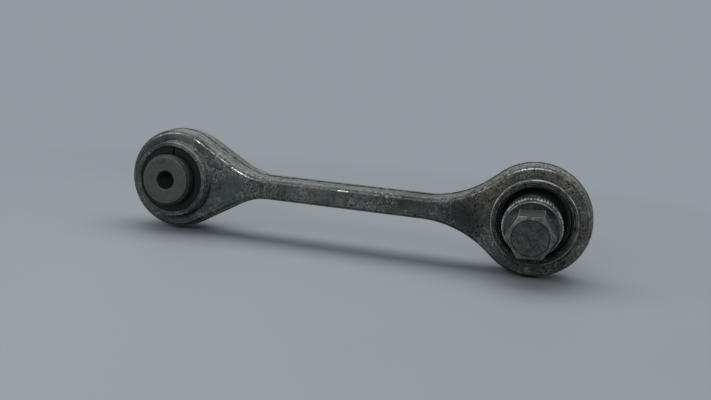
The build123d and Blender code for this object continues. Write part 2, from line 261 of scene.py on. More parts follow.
forgedLook = {
    "metallic": 0.55,
    "gloss": 0.5,
    "light": (0.108, 0.126, 0.122),
    "dark": (0.034, 0.042, 0.041),
    "deep": (0.017, 0.022, 0.022),
    "stainLight": (0.150, 0.134, 0.108),
    "stainDark": (0.052, 0.047, 0.039),
    "side": (0.33, 0.34, 0.315),
    "fleck": (0.36, 0.39, 0.38),
    "speck": (0.014, 0.017, 0.016),
    "pit": (0.004, 0.005, 0.004),
    # the colour of the worn edges and of the painted highlight line
    "worn": (0.88, 0.89, 0.85),
    # the colour of the painted shade in hollows and creases
    "dirt": (0.018, 0.02, 0.019),
    # places on the front and rear: x, z and reach in mm, then the share
    "wearAndHighlightPlaces": [(14, 23.5, 7, 1.0), (25, 18, 12, 0.45), (38, 11, 13, 1.0), (99, 5.2, 3, 1.0),
                     (120, 5, 20, 0.2), (196, 26, 13, 0.9), (171, 12, 9, 0.25), (215, 20, 9, 0.3),
                     (-4, 20, 11, 0.75), (17, -12, 8, 0.5)],
    "darkPlaces": [(163, -5, 17, 0.9), (140, -3, 22, 0.35), (188, -22, 14, 0.45), (30, -4, 16, 0.25),
                   (222, 16, 12, 0.3)],
    "brownPlaces": [(176, 13, 18, 1.0), (214, 20, 16, 0.8), (210, -23, 18, 0.9), (225, -3, 13, 0.7),
                    (199, 24, 12, 0.6), (84, -2, 9, 0.4), (124, 0, 10, 0.35)],
    "lightPlaces": [(3, 25, 12, 0.3)],
    "pitPlaces": [(172, 11, 26, 1.0), (186, 21, 12, 0.8), (217, 19, 14, 1.0), (216, -21, 18, 1.0),
                  (177, -15, 15, 0.9), (200, 25, 11, 0.7)],
    # where the painted shadow at the collar's foot falls: x, z and reach in mm, then the share
    "footShadowPlaces": [(17, -14, 22, 1.0)],
    "placeCore": 0.3,  # the part of a place's reach that has the full share
    "wobbleNoise": (95.0, 5.0, 0.7),  # makes the edges of the places uneven, by this reach
    "wobbleReach": 24 * mm,
    "footShadow": (20.8, 21.2, 22.0, 23.0),  # radii in mm of the painted shadow at the foot of the bush's collar
    # the base tone, from patches, clouds and grain
    "patchNoise": (38.0, 5.0, 0.6),
    "cloudNoise": (230.0, 5.0, 0.68),
    "grainNoise": (1150.0, 3.0, 0.65),
    "toneParts": (0.34, 0.36, 0.30),
    "toneRange": (0.42, 0.59),
    "stainNoise": (62.0, 6.0, 0.68, 0.5),
    "stainRange": (0.55, 0.68, 0.0, 0.6),
    "sideRange": (0.35, 0.85, 0.33, 0.0),
    "sideClouds": (0.38, 0.6, 0.4, 1.0),
    # flow lines of the forging round each eye, by radius, width and wobble, out to flowReach
    "flowParts": (1.0, 0.8, 0.05),
    "flowNoise": (640.0, 3.0),
    "flowReach": (30.0 * mm, 34.0 * mm, 1.0, 0.0),
    "flowFacing": (0.88, 0.985, 1.0, 0.12),
    "lightLines": (0.53, 0.64, 0.0, 0.45),
    "darkLines": (0.36, 0.45, 0.6, 0.0),
    # light flecks and curled scratches in clusters, dark specks all over
    "fleckNoise": (560.0, 5.0, 0.72, 0.8),
    "fleckRange": (0.52, 0.63, 0.0, 0.66),
    "curlNoise": (330.0, 3.0, 0.6, 1.2),
    "curlRange": (0.0, 0.022, 0.42, 0.0),
    "clusterNoise": (55.0, 4.0, 0.6),
    "clusterRange": (0.42, 0.58),
    "fleckInDark": (0.0, 1.0, 1.0, 0.35),
    "speckNoise": (784.0, 4.0, 0.75, 0.4),
    "speckRange": (0.56, 0.66, 0.0, 0.8),
    # pits: scale, inner and outer width, and the patches where they are
    "pits": (480.0, 0.16, 0.30),
    "pitNoise": (58.0, 4.0, 0.6),
    "pitParts": (1.0, 0.09),
    "pitRange": (0.50, 0.60, 0.0, 0.95),
    "finePits": (780.0, 0.24, 0.40),
    "finePitNoise": (250.0, 3.0, 0.6),
    "finePitRange": (0.44, 0.51),
    # painted shade: darker in hollows and creases, by ambient occlusion within this reach
    "hollowReach": 3.0 * mm,
    "hollowRange": (0.36, 0.68, 0.85, 0.0),
    # the line beside each flat face, partly rubbed wear and partly painted highlight, and worn sharp edges
    "lineStart": (0.86, 0.93),
    "lineEnd": (0.95, 0.985, 1.0, 0.0),
    "lineLeast": 0.12,
    "lineNoise": (520.0, 4.0, 0.7),
    "lineRange": (0.40, 0.54),
    "wearRadius": 0.35 * mm,
    "edgeRange": (0.03, 0.16),
    "wearNoise": (170.0, 6.0, 0.8),
    "wearRange": (0.46, 0.62),
    "wornGloss": 0.16,
    "rough": (0.3, 0.7, 0.44, 0.68),
    "relief": (0.4, 0.6, -0.9, -0.3, 0.25),  # grain, clouds, pits, specks, flecks
    "depth": 0.22 * mm,
}


def nearPlaces(tree, where, wobble, places, core):
    # the share of the nearest place, fading to nothing at its reach, with an uneven edge
    flat = vectors(tree, "MULTIPLY", where, (1.0, 0.0, 1.0))
    total = 0.0
    for x, z, radius, share in places:
        away = maths(tree, "ADD", vectors(tree, "DISTANCE", flat, (x * mm, 0.0, z * mm)), wobble)
        total = larger(tree, spread(tree, away, core * radius * mm, radius * mm, share, 0.0), total)
    return total


def flowLines(tree, where, wobble, facing, look):
    # thin uneven lines that follow the outline of each eye on its rounded and side faces
    near = maths(tree, "MINIMUM", *[fromAxis(tree, where, eye, frontWay) for eye in (eyeLeft, eyeRight)])
    across = maths(tree, "ABSOLUTE", component(tree, where, "Y"))
    course = weighed(tree, (near, across, wobble), look["flowParts"])
    held = times(tree, spread(tree, near, *look["flowReach"]), spread(tree, facing, *look["flowFacing"]))
    return noiseAlong(tree, course, *look["flowNoise"]), held


def forgedMetal(name, look):
    material, tree, shader, where = startMaterial(name, look)
    facing = facingOut(tree)
    patches = noise(tree, where, *look["patchNoise"])
    clouds = noise(tree, where, *look["cloudNoise"])
    grain = noise(tree, where, *look["grainNoise"])
    wobble = times(tree, centred(tree, noise(tree, where, *look["wobbleNoise"])), look["wobbleReach"])

    def near(places):
        return nearPlaces(tree, where, wobble, look[places], look["placeCore"])

    tone = spread(tree, weighed(tree, (patches, clouds, grain), look["toneParts"]), *look["toneRange"])
    colour = mixColour(tree, tone, look["dark"], look["light"])
    stained = mixColour(tree, tone, look["stainDark"], look["stainLight"])
    brown = near("brownPlaces")
    colour = mixColour(tree, larger(tree, pattern(tree, where, look, "stain"), brown), colour, stained)
    sides = times(tree, spread(tree, facing, *look["sideRange"]), spread(tree, clouds, *look["sideClouds"]))
    colour = mixColour(tree, sides, colour, look["side"])
    lines, held = flowLines(tree, where, wobble, facing, look)
    lightLines = times(tree, spread(tree, lines, *look["lightLines"]), held)
    colour = mixColour(tree, lightLines, colour, look["fleck"])
    darkLines = times(tree, spread(tree, lines, *look["darkLines"]), held)
    colour = mixColour(tree, darkLines, colour, look["speck"])
    # darker at the listed places
    darkened = near("darkPlaces")
    colour = mixColour(tree, darkened, colour, look["deep"])
    # flecks and curls gather in clusters, and are fainter where it is dark
    curls = maths(tree, "ABSOLUTE", centred(tree, noise(tree, where, *look["curlNoise"])))
    flecks = larger(tree, pattern(tree, where, look, "fleck"), spread(tree, curls, *look["curlRange"]))
    flecks = times(tree, flecks, pattern(tree, where, look, "cluster"))
    flecks = times(tree, flecks, spread(tree, darkened, *look["fleckInDark"]))
    colour = mixColour(tree, flecks, colour, look["fleck"])
    specks = pattern(tree, where, look, "speck")
    colour = mixColour(tree, specks, colour, look["speck"])
    colour = mixColour(tree, near("lightPlaces"), colour, look["side"])
    # coarse pits in patches and more of them where it is brown, fine ones at their own places
    pitted = weighed(tree, (noise(tree, where, *look["pitNoise"]), brown), look["pitParts"])
    pits = times(tree, spots(tree, where, *look["pits"]), spread(tree, pitted, *look["pitRange"]))
    finePits = times(tree, spots(tree, where, *look["finePits"]), pattern(tree, where, look, "finePit"))
    pits = larger(tree, pits, times(tree, finePits, near("pitPlaces")))
    colour = mixColour(tree, pits, colour, look["pit"])
    # painted shade in hollows and creases, by ambient occlusion, in the dirt colour
    hollow = put(tree, "ShaderNodeAmbientOcclusion", {"samples": traceSamples},
                 ("Distance", look["hollowReach"]), out="AO")
    colour = mixColour(tree, spread(tree, hollow, *look["hollowRange"]), colour, look["dirt"])
    # painted shadow at the foot of the bush's collar, on its lower right side, in the pit colour
    footShadow = ringMask(tree, fromAxis(tree, where, eyeLeft, frontWay), *look["footShadow"])
    colour = mixColour(tree, times(tree, footShadow, near("footShadowPlaces")), colour, look["pit"])
    # a thin bright line where each flat face starts to round over, partly rubbed wear and partly painted
    # highlight, and rubbed wear on sharp edges
    line = times(tree, spread(tree, facing, *look["lineStart"]), spread(tree, facing, *look["lineEnd"]))
    line = times(tree, line, larger(tree, near("wearAndHighlightPlaces"), look["lineLeast"]))
    line = times(tree, line, pattern(tree, where, look, "line"))
    sharp = edgeMask(tree, look["wearRadius"], *look["edgeRange"])
    wearAndHighlight = larger(tree, line, times(tree, sharp, pattern(tree, where, look, "wear")))
    colour = mixColour(tree, wearAndHighlight, colour, look["worn"])
    height = weighed(tree, (grain, clouds, pits, specks, flecks), look["relief"])
    finishMaterial(tree, shader, look, colour, clouds, height, wearAndHighlight)
    return material


# Turned or coated steel: fine rings round the axis it was turned on, dirt, painted shade, worn edges

steelBase = {
    "gloss": 0.5,
    "cloudNoise": (230.0, 6.0, 0.68),
    "cloudRange": (0.36, 0.64),
    "grainNoise": (1500.0, 3.0, 0.6),
    "dirtNoise": (620.0, 5.0, 0.7, 0.3),
    "dirtRange": (0.52, 0.66, 0.0, 0.7),
    "pits": (420.0, 0.13, 0.24, 0.0),  # scale, inner and outer width, share
    "pitClouds": (0.46, 0.54),
    "ribs": None,  # dark gaps between ribs round the rim
    "grimeAndShade": [],  # rings of grime, and of painted shade on the cartridge: radii in mm where each starts, is full, is still full and ends, then the share
    "paintedShadeByHeight": [],  # painted shade, from the first height in mm to the full share at the second
    "topShade": None,  # painted shade on what faces up, as a range of how far up
    "bright": [],  # radii in mm where a rubbed line starts and is full, and its share
    "lineNoise": (110.0, 6.0, 0.8),
    "lineRange": (0.42, 0.60, 0.15, 1.0),
    "edgeRange": (0.02, 0.14),
    "wearNoise": (420.0, 4.0, 0.7),
    "wornGloss": 0.12,
}
bushSteelLook = steelBase | {
    "metallic": 0.5,
    "light": (0.100, 0.104, 0.095),
    "dark": (0.078, 0.082, 0.076),
    "dirt": (0.02, 0.021, 0.02),
    "dirtRange": (0.52, 0.66, 0.0, 0.5),
    "grimeAndShade": [(12.8, 13.0, 30.0, 31.0, 0.85)],
    "worn": (0.70, 0.72, 0.68),
    "wearRadius": 0.22 * mm,
    "wearRange": (0.40, 0.60),
    "rough": (0.3, 0.7, 0.58, 0.46),
    "ringNoise": (2600.0, 2.0),
    "relief": (0.4, 0.6, 0.3, -0.3),  # grain, clouds, rings, dirt
    "depth": 0.03 * mm,
}
cartridgeSteelLook = steelBase | {
    "metallic": 0.6,
    "light": (0.130, 0.132, 0.120),
    "dark": (0.042, 0.045, 0.040),
    "dirt": (0.010, 0.010, 0.009),
    "dirtRange": (0.48, 0.62, 0.0, 0.9),
    # painted shade in the groove and on the mouth's inner wall
    "grimeAndShade": [(19.35, 19.5, 20.1, 20.3, 0.97), (0.0, 1.0, 18.85, 19.05, 0.95)],
    # painted shade: darker towards the bottom of the cartridge's lip
    "paintedShadeByHeight": [(-2.0, -13.0, 0.85)],
    "bright": [(21.1, 21.35, 0.42)],
    "worn": (0.82, 0.83, 0.80),
    "wearRadius": 0.18 * mm,
    "wearRange": (0.40, 0.60),
    "rough": (0.3, 0.7, 0.60, 0.40),
    "ringNoise": (1800.0, 2.0),
    "relief": (0.4, 0.6, 0.2, -0.3),
    "depth": 0.10 * mm,
}
sleeveSteelLook = steelBase | {
    "metallic": 0.45,
    "light": (0.78, 0.80, 0.80),
    "dark": (0.17, 0.18, 0.185),
    "dirt": (0.02, 0.021, 0.022),
    "dirtRange": (0.47, 0.61, 0.0, 0.9),
    "grimeAndShade": [(0.0, 0.1, 14.2, 14.8, 0.68)],  # the flat end faces are duller than the rim
    "ribs": {
        "count": 58,
        "reach": (14.7 * mm, 14.9 * mm, 0.0, 0.95),
        "noise": (380.0, 3.0, 0.6),
        "uneven": 9.0,
        "wave": (-0.1, 0.6),
    },
    "worn": (0.94, 0.95, 0.95),
    "wearRadius": 0.25 * mm,
    "wearRange": (0.44, 0.64),
    "rough": (0.3, 0.7, 0.54, 0.38),
    "ringNoise": (1800.0, 2.0),
    "relief": (0.4, 0.6, 0.2, -0.3),
    "depth": 0.12 * mm,
}
boltSteelLook = steelBase | {
    "metallic": 0.65,
    "light": (0.094, 0.104, 0.101),
    "dark": (0.045, 0.053, 0.052),
    "dirt": (0.012, 0.014, 0.014),
    "grimeAndShade": [(8.55, 8.8, 9.15, 9.45, 0.88)],  # where the end face meets the chamfer
    # painted shade on the bolt's faces that point up
    "topShade": (0.6, 0.9, 0.0, 0.5),
    "pits": (420.0, 0.13, 0.24, 0.9),
    "worn": (0.74, 0.76, 0.73),
    "wearRadius": 0.5 * mm,
    "wearRange": (0.41, 0.61),
    "rough": (0.3, 0.7, 0.60, 0.42),
    "ringNoise": (300.0, 2.0),
    "relief": (0.4, 0.6, 0.0, -0.3),
    "depth": 0.12 * mm,
}
# lighter than the rest of the bolt, on the chamfers and the flange rim: partly rubbed wear, partly painted
# highlight
chamferSteelLook = boltSteelLook | {
    "light": (0.21, 0.21, 0.19),
    "dark": (0.085, 0.088, 0.082),
    "dirtRange": (0.52, 0.66, 0.0, 0.6),
    "topShade": None,
}
coneSteelLook = boltSteelLook | {
    "gloss": 0.2,
    "light": (0.115, 0.120, 0.118),
    "dark": (0.055, 0.060, 0.060),
    # painted shade: darker towards the top of the cone and towards its bottom
    "paintedShadeByHeight": [(1.0, 6.5, 0.93), (-2.0, -9.0, 0.6)],
    "wearRange": (0.50, 0.70),
}
threadSteelLook = boltSteelLook | {
    "light": (0.20, 0.21, 0.205),
    "dark": (0.12, 0.13, 0.127),
    "dirtRange": (0.52, 0.66, 0.0, 0.35),
    "grimeAndShade": [(0.0, 0.1, 6.15, 6.75, 0.9)],  # dark grooves
    "topShade": None,
    "pits": (420.0, 0.13, 0.24, 0.0),
    "wearRadius": 0.12 * mm,
}
springSteelLook = steelBase | {
    "metallic": 0.8,
    "light": (0.10, 0.10, 0.105),
    "dark": (0.045, 0.045, 0.048),
    "dirt": (0.06, 0.045, 0.032),
    "dirtRange": (0.52, 0.66, 0.0, 0.8),
    "worn": (0.40, 0.40, 0.40),
    "wearRadius": 0.15 * mm,
    "wearRange": (0.42, 0.62),
    "rough": (0.3, 0.7, 0.55, 0.38),
    "ringNoise": (1500.0, 2.0),
    "relief": (0.4, 0.6, 0.15, -0.3),
    "depth": 0.04 * mm,
}


def ribWave(tree, where, centre, axis, ribs):
    # dark between the ribs: the angle round the axis, counted that many times
    away = vectors(tree, "SUBTRACT", where, tuple(centre))
    sideways = [vectors(tree, "DOT_PRODUCT", away, tuple(way)) for way in (hinge, axis.cross(hinge))]
    angle = maths(tree, "ARCTAN2", *sideways)
    uneven = weighed(tree, (angle, noise(tree, where, *ribs["noise"])), (ribs["count"], ribs["uneven"]))
    return spread(tree, maths(tree, "SINE", uneven), *ribs["wave"])


def steel(name, look, centre, axis):
    material, tree, shader, where = startMaterial(name, look)
    clouds = noise(tree, where, *look["cloudNoise"])
    grain = noise(tree, where, *look["grainNoise"])
    radius = fromAxis(tree, where, centre, axis)
    rings = noiseAlong(tree, radius, *look["ringNoise"])
    colour = mixColour(tree, spread(tree, clouds, *look["cloudRange"]), look["dark"], look["light"])
    pits = times(tree, spots(tree, where, *look["pits"]), spread(tree, clouds, *look["pitClouds"]))
    dirtAndShade = larger(tree, pattern(tree, where, look, "dirt"), pits)
    if look["ribs"]:
        wave = ribWave(tree, where, centre, axis, look["ribs"])
        dirtAndShade = larger(tree, dirtAndShade, times(tree, wave, spread(tree, radius, *look["ribs"]["reach"])))
    for ring in look["grimeAndShade"]:
        dirtAndShade = larger(tree, dirtAndShade, ringMask(tree, radius, *ring))
    # painted shade, darker towards a height
    for clear, full, share in look["paintedShadeByHeight"]:
        level = component(tree, where, "Z")
        dirtAndShade = larger(tree, dirtAndShade, spread(tree, level, clear * mm, full * mm, 0.0, share))
    # painted shade: darker on the faces that point up
    if look["topShade"]:
        up = component(tree, coordinates(tree, "Normal"), "Z")
        dirtAndShade = larger(tree, dirtAndShade, spread(tree, up, *look["topShade"]))
    # dirt, pits and dark rib gaps together with the painted shade, all in the dirt colour
    colour = mixColour(tree, dirtAndShade, colour, look["dirt"])
    sharp = edgeMask(tree, look["wearRadius"], *look["edgeRange"])
    wearAndHighlight = times(tree, sharp, pattern(tree, where, look, "wear"))
    for start, full, share in look["bright"]:
        line = spread(tree, radius, start * mm, full * mm, 0.0, share)
        wearAndHighlight = larger(tree, wearAndHighlight, times(tree, line, pattern(tree, where, look, "line")))
    colour = mixColour(tree, wearAndHighlight, colour, look["worn"])
    height = weighed(tree, (grain, clouds, rings, dirtAndShade), look["relief"])
    finishMaterial(tree, shader, look, colour, clouds, height, wearAndHighlight)
    return material


# Rubber and plastic: near black or natural, a little dusty, with a fine moulded grain

mouldedBase = {
    "metallic": 0.0,
    "gloss": 0.5,
    "cloudNoise": (220.0, 5.0, 0.6),
    "dustNoise": (320.0, 6.0, 0.7, 0.4),
    "dustRing": None,
    "relief": (0.5, 0.5),  # grain, clouds
    "depth": 0.03 * mm,
}
bootRubberLook = mouldedBase | {
    "base": (0.006, 0.007, 0.008),
    "dust": (0.04, 0.044, 0.046),
    "dustRange": (0.44, 0.72, 0.0, 0.3),
    "rough": (0.3, 0.7, 0.38, 0.6),
    "grainNoise": (1400.0, 3.0, 0.6),
}
bushRubberLook = mouldedBase | {
    "base": (0.018, 0.019, 0.02),
    "dust": (0.10, 0.10, 0.095),
    "dustRange": (0.44, 0.72, 0.0, 0.5),
    "rough": (0.3, 0.7, 0.55, 0.8),
    "grainNoise": (1100.0, 3.0, 0.6),
    "depth": 0.05 * mm,
}
ringPlasticLook = mouldedBase | {
    "gloss": 0.2,
    "base": (0.003, 0.004, 0.004),
    "dust": (0.022, 0.028, 0.027),
    "dustRange": (0.44, 0.72, 0.0, 0.5),
    "dustRing": (15.0, 15.6, 17.5, 18.0, 0.5),  # radii in mm round the bush, and the share
    "dustLeft": 0.4,  # how much of the other dust stays beside that ring
    "rough": (0.3, 0.7, 0.42, 0.62),
    "grainNoise": (1800.0, 3.0, 0.6),
}
bearingPlasticLook = mouldedBase | {
    "base": (0.72, 0.70, 0.62),
    "dust": (0.40, 0.37, 0.30),
    "dustRange": (0.44, 0.72, 0.0, 0.4),
    "rough": (0.3, 0.7, 0.3, 0.5),
    "grainNoise": (900.0, 3.0, 0.6),
}


def moulded(name, look):
    material, tree, shader, where = startMaterial(name, look)
    clouds = noise(tree, where, *look["cloudNoise"])
    grain = noise(tree, where, *look["grainNoise"])
    dusty = pattern(tree, where, look, "dust")
    if look["dustRing"]:
        ring = ringMask(tree, fromAxis(tree, where, eyeLeft, frontWay), *look["dustRing"])
        dusty = larger(tree, times(tree, dusty, look["dustLeft"]), ring)
    colour = mixColour(tree, dusty, look["base"], look["dust"])
    finishMaterial(tree, shader, look, colour, clouds, weighed(tree, (grain, clouds), look["relief"]))
    return material


finishes = {
    "forged_aluminium": forgedMetal("forgedAluminium", forgedLook),
    "bush_steel": steel("phosphatedSteel", bushSteelLook, eyeLeft, frontWay),
    "joint_steel": steel("turnedCartridgeSteel", cartridgeSteelLook, eyeRight, frontWay),
    "spring_steel": steel("blackenedSpringSteel", springSteelLook, eyeRight, frontWay),
    "bolt_steel": steel("zincFlakeSteel", boltSteelLook, eyeRight, headWay),
    "bush_rubber": moulded("bushRubber", bushRubberLook),
    "boot_rubber": moulded("bootRubber", bootRubberLook),
    "bearing_plastic": moulded("bearingPlastic", bearingPlasticLook),
    "ring_plastic": moulded("ringPlastic", ringPlasticLook),
}
ownFinishes = {"ball_sleeve": steel("brightSleeveSteel", sleeveSteelLook, eyeRight, headWay)}
chamferSteel = steel("wornAndHighlightChamferSteel", chamferSteelLook, eyeRight, headWay)
coneSteel = steel("paintedShadeConeSteel", coneSteelLook, eyeRight, headWay)
threadSteel = steel("oiledThreadSteel", threadSteelLook, eyeRight, headWay)
for part in record["subparts"]:
    node = nodes[part["node"]]
    finish = ownFinishes.get(part["node"], finishes[part["material_slot"]])
    for slot in node.material_slots:
        slot.material = finish
    if not node.material_slots:
        node.data.materials.append(finish)
print("materials made:", len(bpy.data.materials))


# Mesh helpers

def axisFrame(centre, outward, across):
    up = outward.cross(across).normalized()
    turn = Matrix((across, up, outward)).transposed().to_4x4()
    return Matrix.Translation(centre) @ turn


def reach(name, place):
    # of a CAD node along and round an axis: lowest, highest, least and greatest radius
    inside = place.inverted()
    points = [inside @ vertex.co for vertex in nodes[name].data.vertices]
    heights = [point.z for point in points]
    radii = [point.xy.length for point in points]
    return min(heights), max(heights), min(radii), max(radii)


def pointAt(bm, place, x, y, height):
    return bm.verts.new(place @ Vector((x, y, height)))


def ringOf(bm, place, radius, height, steps, wave=None):
    ring = []
    for step in range(steps):
        angle = 2 * pi * step / steps
        lift = wave(step) if wave else 0.0
        ring.append(pointAt(bm, place, radius * cos(angle), radius * sin(angle), height + lift))
    return ring


def capRing(bm, ring, place, height):
    centre = pointAt(bm, place, 0, 0, height)
    for index, vertex in enumerate(ring):
        bm.faces.new((vertex, ring[(index + 1) % len(ring)], centre))


def bands(bm, rings, finish=0):
    count = len(rings[0])
    for lower, upper in zip(rings, rings[1:]):
        for index in range(count):
            after = (index + 1) % count
            face = bm.faces.new((lower[index], lower[after], upper[after], upper[index]))
            face.material_index = finish


def finishPiece(name, bm, *materials, sharp=32.0):
    # edges with more than this many degrees between their faces stay crisp
    bmesh.ops.remove_doubles(bm, verts=bm.verts, dist=weld)
    bmesh.ops.recalc_face_normals(bm, faces=bm.faces)
    mesh = bpy.data.meshes.new(name)
    bm.to_mesh(mesh)
    bm.free()
    for material in materials:
        mesh.materials.append(material)
    mesh.shade_smooth()
    mesh.set_sharp_from_angle(angle=radians(sharp))
    piece = bpy.data.objects.new(name, mesh)
    scene.collection.objects.link(piece)
    return piece


def applyModifiers(piece):
    shown = piece.evaluated_get(bpy.context.evaluated_depsgraph_get())
    baked = bpy.data.meshes.new_from_object(shown)
    piece.modifiers.clear()
    piece.data = baked


# Flange bolt: chamfered hexagon, coned flange with a toothed seat, shank, relief groove, thread

boltLook = {
    "headHeight": 17.6 * mm,
    "hexWidth": 21.0 * mm,
    "hexTurn": 20.8,  # degrees from the hinge
    "hexSteps": 14,  # points along each flat
    "chamferAngle": 22.0,
    "faceRadius": 9.0 * mm,
    "faceDish": 0.25 * mm,
    "faceProfile": [(1.0, 0.0), (0.95, 0.06), (0.85, 0.7), (0.5, 1.0)],  # shares of radius and dish
    "flangeRadius": 14.2 * mm,
    "flangeRim": 2.6 * mm,
    "rimProfile": [(0.0, -0.75), (0.16, -0.3), (0.5, 0.0), (1.1, 0.35)],  # mm in and up from its top
    "coneSlope": 25.0,
    "coneInset": 0.6 * mm,  # how far the cone runs in under the flats
    "seatHollow": 0.3 * mm,
    "seatEdge": 0.35 * mm,
    "teeth": 36,
    "toothWave": (0.0, 1.0, 1.0, 0.0),
    "toothDepth": 0.45 * mm,
    "toothInside": 11.6 * mm,
    "toothRun": 0.4 * mm,
    "shankRadius": 7.0 * mm,
    "shankEdge": 0.3 * mm,
    "shankTop": 0.4 * mm,
    "reliefRadius": 5.9 * mm,
    "reliefLength": 2.0 * mm,
    "reliefFall": 0.5 * mm,
    "pitch": 1.5 * mm,
    "threadDepth": 0.82 * mm,
    # one turn of the thread: the share of the turn, and whether it is on the crest there
    "threadProfile": [(0.0, False), (0.14, False), (0.44, True), (0.56, True), (0.86, False)],
    "threadRunIn": 0.8,  # how fast the thread rises from the groove
    "endChamfer": 1.5 * mm,
    "dimpleRadius": 1.6 * mm,
    "dimpleDepth": 0.9 * mm,
    "roundSteps": 72,
    "softEdge": 0.14 * mm,
    "softSteps": 2,
    "softAngle": 38.0,  # degrees between faces from which an edge is softened
}
boltPlace = axisFrame(eyeRight, headWay, hinge)
boltLow, boltHigh = reach("flange_bolt", boltPlace)[:2]
chamferFinish, coneFinish, threadFinish = 1, 2, 3  # places in the bolt's list of materials


def makeHexHead(look, place, top, bottom):
    bm = bmesh.new()
    corner = look["hexWidth"] / sqrt(3)
    outline = []
    for side in range(6):
        start = radians(look["hexTurn"] + 60 * side)
        end = start + radians(60)
        for step in range(look["hexSteps"]):
            share = step / look["hexSteps"]
            x = corner * (cos(start) * (1 - share) + cos(end) * share)
            y = corner * (sin(start) * (1 - share) + sin(end) * share)
            outline.append((x, y, sqrt(x * x + y * y)))
    slope = tan(radians(look["chamferAngle"]))
    face = look["faceRadius"]
    low = [pointAt(bm, place, x, y, bottom) for x, y, _ in outline]
    edge = [pointAt(bm, place, x, y, top - (r - face) * slope) for x, y, r in outline]
    rings = []
    for share, drop in look["faceProfile"]:
        height = top - look["faceDish"] * drop
        rings.append([pointAt(bm, place, x * face * share / r, y * face * share / r, height)
                      for x, y, r in outline])
    bands(bm, [low, edge])
    bands(bm, [edge, rings[0]], finish=chamferFinish)
    bands(bm, rings)
    capRing(bm, rings[-1], place, top - look["faceDish"])
    capRing(bm, low, place, bottom)
    return bm


def makeFlange(look, place, seat):
    bm = bmesh.new()
    steps = look["teeth"] * len(look["toothWave"])

    def wave(step):
        return look["toothDepth"] * look["toothWave"][step % len(look["toothWave"])]

    rim = look["flangeRadius"]
    inside = look["toothInside"]
    hollow = seat + look["seatHollow"]
    top = seat + look["flangeRim"]
    hexInside = look["hexWidth"] / 2 - look["coneInset"]
    coneTop = top + (rim - hexInside) * tan(radians(look["coneSlope"]))
    rings = [
        ringOf(bm, place, look["shankRadius"], hollow, steps),
        ringOf(bm, place, inside, hollow, steps),
        ringOf(bm, place, inside + look["toothRun"], seat, steps, wave),
        ringOf(bm, place, rim - look["seatEdge"], seat, steps, wave),
        ringOf(bm, place, rim, hollow, steps, wave),
    ]
    for inset, rise in look["rimProfile"]:
        rings.append(ringOf(bm, place, rim - inset * mm, top + rise * mm, steps))
    rings.append(ringOf(bm, place, hexInside, coneTop, steps))
    # the first four rings are the seat, then comes the rim's side, and the last three are the cone
    bands(bm, rings[:4])
    bands(bm, rings[3:8], finish=chamferFinish)
    bands(bm, rings[7:], finish=coneFinish)
    capRing(bm, rings[-1], place, coneTop)
    return bm


def makeShank(look, place, top, threadTop, threadRadius):
    bm = bmesh.new()
    radius = look["shankRadius"]
    edge = look["shankEdge"]
    relief = threadTop + look["reliefLength"]
    outline = [
        (radius - edge, top),
        (radius, top - look["shankTop"]),
        (radius, relief + edge),
        (radius - edge, relief),
        (look["reliefRadius"], relief - look["reliefFall"]),
        (look["reliefRadius"], threadTop + edge),
        (threadRadius - look["threadDepth"], threadTop),
    ]
    rings = [ringOf(bm, place, ringRadius, height, look["roundSteps"]) for ringRadius, height in outline]
    bands(bm, rings)
    capRing(bm, rings[0], place, top)
    return bm


def makeThread(look, place, top, end, radius):
    # one long strip wound round the axis: each turn has the profile's points, and its last column
    # joins the first column of the next turn
    bm = bmesh.new()
    steps = look["roundSteps"]
    pitch = look["pitch"]
    inner = radius - look["threadDepth"]
    turns = int((top - end) / pitch) + 3  # enough to reach past both ends
    rows = [(turn + phase, radius if crest else inner)
            for turn in range(turns) for phase, crest in look["threadProfile"]]
    grid = []
    for phase, r in rows:
        ring = []
        for step in range(steps):
            angle = 2 * pi * step / steps
            height = top + pitch * (1.0 - phase - step / steps)
            held = min(max(height, end), top)
            runIn = inner + (top - held) * look["threadRunIn"]
            out = min(r, radius, radius - look["endChamfer"] + (held - end), runIn)
            ring.append(pointAt(bm, place, out * cos(angle), out * sin(angle), held))
        grid.append(ring)
    count = len(look["threadProfile"])
    for row in range(len(grid) - 1):
        for step in range(steps):
            after = step + 1
            if after < steps:
                corners = (grid[row][step], grid[row][after], grid[row + 1][after], grid[row + 1][step])
            elif row >= count:
                back = row - count
                corners = (grid[row][step], grid[back][0], grid[back + 1][0], grid[row + 1][step])
            else:
                continue
            bm.faces.new(corners).material_index = threadFinish
    bmesh.ops.remove_doubles(bm, verts=bm.verts, dist=2 * weld)
    bmesh.ops.dissolve_degenerate(bm, dist=2 * weld, edges=bm.edges)
    rim = ringOf(bm, place, radius - look["endChamfer"], end, steps)
    dimple = ringOf(bm, place, look["dimpleRadius"], end, steps)
    bands(bm, [rim, dimple])
    capRing(bm, dimple, place, end + look["dimpleDepth"])
    return bm


